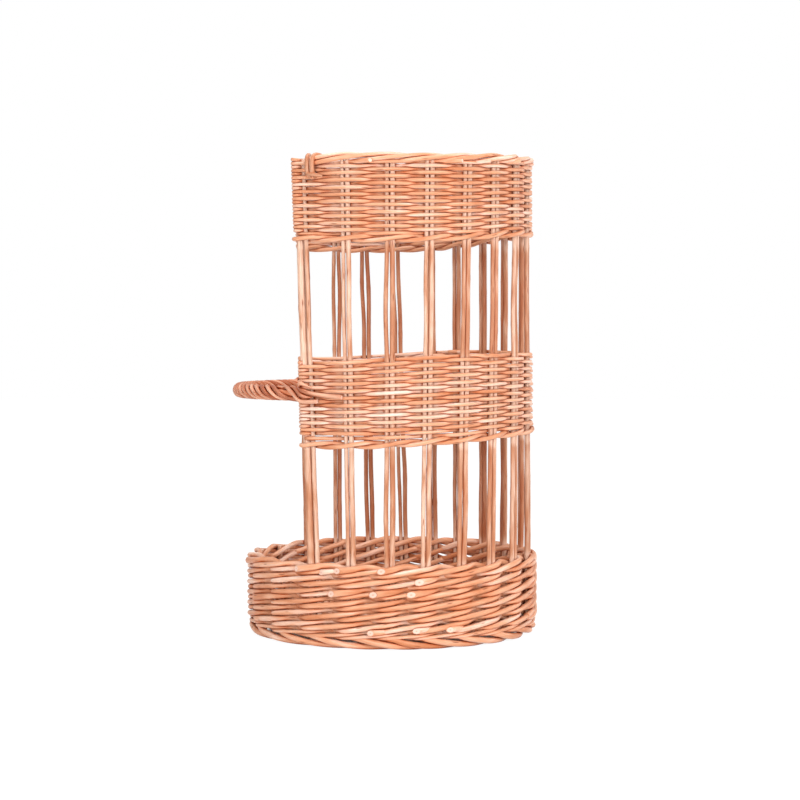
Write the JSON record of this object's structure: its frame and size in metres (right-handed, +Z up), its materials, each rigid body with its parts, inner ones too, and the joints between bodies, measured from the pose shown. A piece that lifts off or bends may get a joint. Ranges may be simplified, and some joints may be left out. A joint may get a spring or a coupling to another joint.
{
  "type": "baguette basket",
  "caption": "Round willow tray with a tall open-fronted rack of paired uprights, woven bands and a roped front bar, for standing long bread loaves upright.",
  "frame": {"origin": "centre of the basket's footprint box, on the surface that its foot border stands on", "axes": "+Z up, the open front and the roped bar face -Y, +X is to the right seen from the open front"},
  "size_m": [0.3017, 0.3155, 0.4883],
  "materials": {
    "upright_willow": "satin peeled buff willow rod, smooth, with small bud knots",
    "woven_willow": "satin buff willow weave, rod to rod colour variation, darker in the gaps",
    "handle_willow": "satin twisted willow rods, a little darker than the weave",
    "stick_willow": "plain split willow stick, mostly hidden"
  },
  "bodies": {
    "root": {"base_stick_split_1": "stick_willow", "base_stick_split_2": "stick_willow", "base_stick_split_3": "stick_willow", "base_stick_threaded_1": "stick_willow", "base_stick_threaded_2": "stick_willow", "base_stick_threaded_3": "stick_willow", "base_weave": "woven_willow", "bye_stake_back": "upright_willow", "bye_stake_left_1": "upright_willow", "bye_stake_left_2": "upright_willow", "bye_stake_left_3": "upright_willow", "bye_stake_left_4": "upright_willow", "bye_stake_left_5": "upright_willow", "bye_stake_left_6": "upright_willow", "bye_stake_left_7": "upright_willow", "bye_stake_left_8": "upright_willow", "bye_stake_right_1": "upright_willow", "bye_stake_right_2": "upright_willow", "bye_stake_right_3": "upright_willow", "bye_stake_right_4": "upright_willow", "bye_stake_right_5": "upright_willow", "bye_stake_right_6": "upright_willow", "bye_stake_right_7": "upright_willow", "end_post_left": "upright_willow", "end_post_right": "upright_willow", "end_rod_left": "upright_willow", "end_rod_right": "upright_willow", "foot_border": "woven_willow", "front_stake_1": "upright_willow", "front_stake_2": "upright_willow", "front_stake_3": "upright_willow", "front_stake_4": "upright_willow", "front_stake_5": "upright_willow", "handle_bow": "stick_willow", "handle_roping": "handle_willow", "lashing_left": "upright_willow", "lashing_right": "upright_willow", "middle_band": "woven_willow", "middle_band_edge": "woven_willow", "stake_back": "upright_willow", "stake_left_1": "upright_willow", "stake_left_2": "upright_willow", "stake_left_3": "upright_willow", "stake_left_4": "upright_willow", "stake_left_5": "upright_willow", "stake_left_6": "upright_willow", "stake_left_7": "upright_willow", "stake_left_8": "upright_willow", "stake_right_1": "upright_willow", "stake_right_2": "upright_willow", "stake_right_3": "upright_willow", "stake_right_4": "upright_willow", "stake_right_5": "upright_willow", "stake_right_6": "upright_willow", "stake_right_7": "upright_willow", "top_band": "woven_willow", "top_band_edge": "woven_willow", "top_border": "woven_willow", "tray_rim": "woven_willow", "tray_wall": "woven_willow"}
  },
  "joints": []
}
